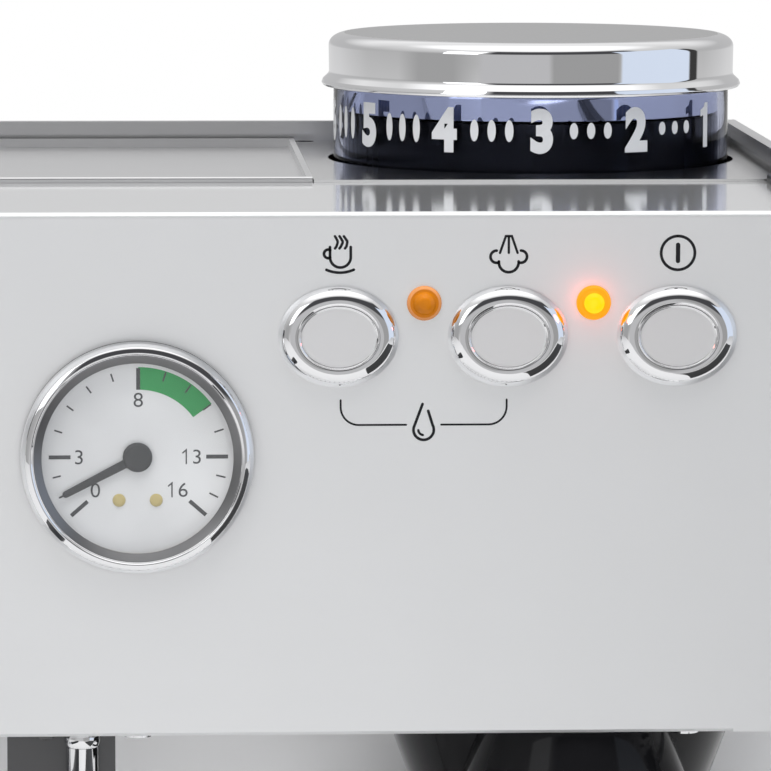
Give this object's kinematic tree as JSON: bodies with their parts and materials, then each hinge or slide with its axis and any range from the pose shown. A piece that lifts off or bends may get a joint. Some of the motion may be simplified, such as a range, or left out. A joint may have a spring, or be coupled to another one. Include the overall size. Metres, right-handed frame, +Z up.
{
  "type": "espresso machine",
  "caption": "Stainless espresso machine with a built-in burr grinder, pressure gauge, oval push buttons, bayonet portafilter, steam wand and drip tray.",
  "frame": {"origin": "on the table, under the middle of the machine's bounding box", "axes": "+Z up, +X to the right seen from the front, the front faces -Y"},
  "size_m": [0.32, 0.3434, 0.3809],
  "materials": {
    "steel_satin": "satin brushed stainless steel",
    "steel_light": "fine satin stainless steel",
    "chrome": "polished chrome",
    "black_gloss": "glossy moulded black",
    "black_matte": "fine textured black",
    "rubber": "matt black rubber",
    "collar_clear": "clear smoky violet plastic",
    "tank_clear": "clear moulded plastic",
    "gauge_clear": "clear glass",
    "dial_white": "white enamel",
    "needle_grey": "dark grey enamel",
    "lamp_amber": "translucent amber",
    "lamp_lit": "translucent amber, lit",
    "brass": "machined brass",
    "copper": "drawn copper tube",
    "burr_steel": "hardened ground steel",
    "cast_alloy": "die cast alloy",
    "motor_grey": "grey enamel",
    "board_green": "printed board"
  },
  "bodies": {
    "machine": {"back_panel": "steel_satin", "backsplash": "steel_light", "base_pan": "black_matte", "boiler": "brass", "button_rings": "chrome", "case_screws": "chrome", "control_board": "board_green", "copper_pipes": "copper", "dosing_cone": "black_gloss", "dosing_nozzle": "black_gloss", "feet": "rubber", "front_panel": "steel_satin", "gauge_bezel": "chrome", "gauge_dial": "dial_white", "gauge_glass": "gauge_clear", "gauge_housing": "brass", "grinder_chute": "black_matte", "grinder_deck": "steel_light", "grinder_housing": "cast_alloy", "grinder_motor": "motor_grey", "group_gasket": "rubber", "group_head": "chrome", "inner_frame": "steel_satin", "lamp_power": "lamp_lit", "lamp_ready": "lamp_amber", "portafilter_fork": "black_matte", "power_inlet": "black_matte", "pump": "motor_grey", "shower_screen": "steel_light", "side_panel_left": "steel_satin", "side_panel_right": "steel_satin", "side_trims": "black_matte", "solenoid_valve": "brass", "steam_valve": "chrome", "switches": "black_matte", "wand_bracket": "black_gloss", "water_tank": "tank_clear"},
    "button_coffee_body": {"button_coffee": "steel_light"},
    "button_steam_body": {"button_steam": "steel_light"},
    "button_power_body": {"button_power": "steel_light"},
    "needle": {"gauge_needle": "needle_grey"},
    "hopper": {"hopper_collar": "collar_clear", "hopper_funnel": "black_gloss", "outer_burr": "burr_steel"},
    "lid": {"hopper_lid": "chrome"},
    "burr_drive": {"inner_burr": "burr_steel", "grinder_shaft": "burr_steel", "drive_gear": "black_matte"},
    "motor_rotor": {"motor_pinion": "burr_steel"},
    "knob": {"steam_knob": "black_matte"},
    "wand_swivel": {"wand_ball": "chrome"},
    "wand": {"wand_pipe": "chrome", "wand_grip": "rubber"},
    "portafilter_assembly": {"portafilter": "chrome", "filter_basket": "steel_light", "portafilter_handle": "black_matte"},
    "drip_tray_body": {"drip_tray": "steel_satin"},
    "grille": {"drip_grille": "steel_light"},
    "cup_tray_body": {"cup_tray": "steel_light"},
    "grind_switch": {"grind_button": "black_gloss"}
  },
  "joints": [
    {"name": "coffee_press", "type": "slide", "parent": "machine", "child": "button_coffee_body", "axis": [0, 1, 0], "range_m": [0, 0.0025], "stiffness_N_per_m": 400, "springref_m": -0.002},
    {"name": "steam_press", "type": "slide", "parent": "machine", "child": "button_steam_body", "axis": [0, 1, 0], "range_m": [0, 0.0025], "stiffness_N_per_m": 400, "springref_m": -0.002},
    {"name": "power_press", "type": "slide", "parent": "machine", "child": "button_power_body", "axis": [0, 1, 0], "range_m": [0, 0.0025], "stiffness_N_per_m": 400, "springref_m": -0.002},
    {"name": "needle_turn", "type": "hinge", "parent": "machine", "child": "needle", "pos_m": [0.0063, -0.03175, 0.2972], "axis": [0, 1, 0], "range_deg": [-13.9, 248.5], "stiffness_Nm_per_rad": 0.002},
    {"name": "grind_adjust", "type": "hinge", "parent": "machine", "child": "hopper", "pos_m": [0.1025, 0.11025, 0.34], "axis": [0, 0, 1], "range_deg": [-57, 87]},
    {"name": "lid_lift", "type": "slide", "parent": "hopper", "child": "lid", "axis": [0, 0, 1], "range_m": [0, 0.05]},
    {"name": "burr_spin", "type": "hinge", "parent": "machine", "child": "burr_drive", "pos_m": [0.1025, 0.11025, 0.28], "axis": [0, 0, 1], "continuous": true},
    {"name": "motor_spin", "type": "hinge", "parent": "machine", "child": "motor_rotor", "pos_m": [0.0672, 0.12125, 0.24], "axis": [0, 0, 1], "continuous": true},
    {"name": "steam_turn", "type": "hinge", "parent": "machine", "child": "knob", "pos_m": [-0.112, -0.03175, 0.3231], "axis": [0, -1, 0], "range_deg": [0, 270]},
    {"name": "wand_turn", "type": "hinge", "parent": "machine", "child": "wand_swivel", "pos_m": [-0.006, -0.00975, 0.2315], "axis": [0, 0, 1], "range_deg": [-60, 60]},
    {"name": "wand_tilt", "type": "hinge", "parent": "wand_swivel", "child": "wand", "pos_m": [-0.006, -0.00975, 0.2315], "axis": [1, 0, 0], "range_deg": [-35, 5]},
    {"name": "portafilter_turn", "type": "hinge", "parent": "machine", "child": "portafilter_assembly", "pos_m": [-0.085, 0.02625, 0.21], "axis": [0, 0, 1], "range_deg": [-45, 0]},
    {"name": "tray_slide", "type": "slide", "parent": "machine", "child": "drip_tray_body", "axis": [0, -1, 0], "range_m": [0, 0.15]},
    {"name": "grille_lift", "type": "slide", "parent": "drip_tray_body", "child": "grille", "axis": [0, 0, 1], "range_m": [0, 0.03]},
    {"name": "cup_tray_lift", "type": "slide", "parent": "machine", "child": "cup_tray_body", "axis": [0, 0, 1], "range_m": [0, 0.08]},
    {"name": "grind_press", "type": "slide", "parent": "machine", "child": "grind_switch", "axis": [0, 1, 0], "range_m": [0, 0.004], "stiffness_N_per_m": 300, "springref_m": -0.002}
  ],
  "couplings": [
    {"joint": "motor_spin", "follows": "burr_spin", "ratio": -4.2857}
  ]
}
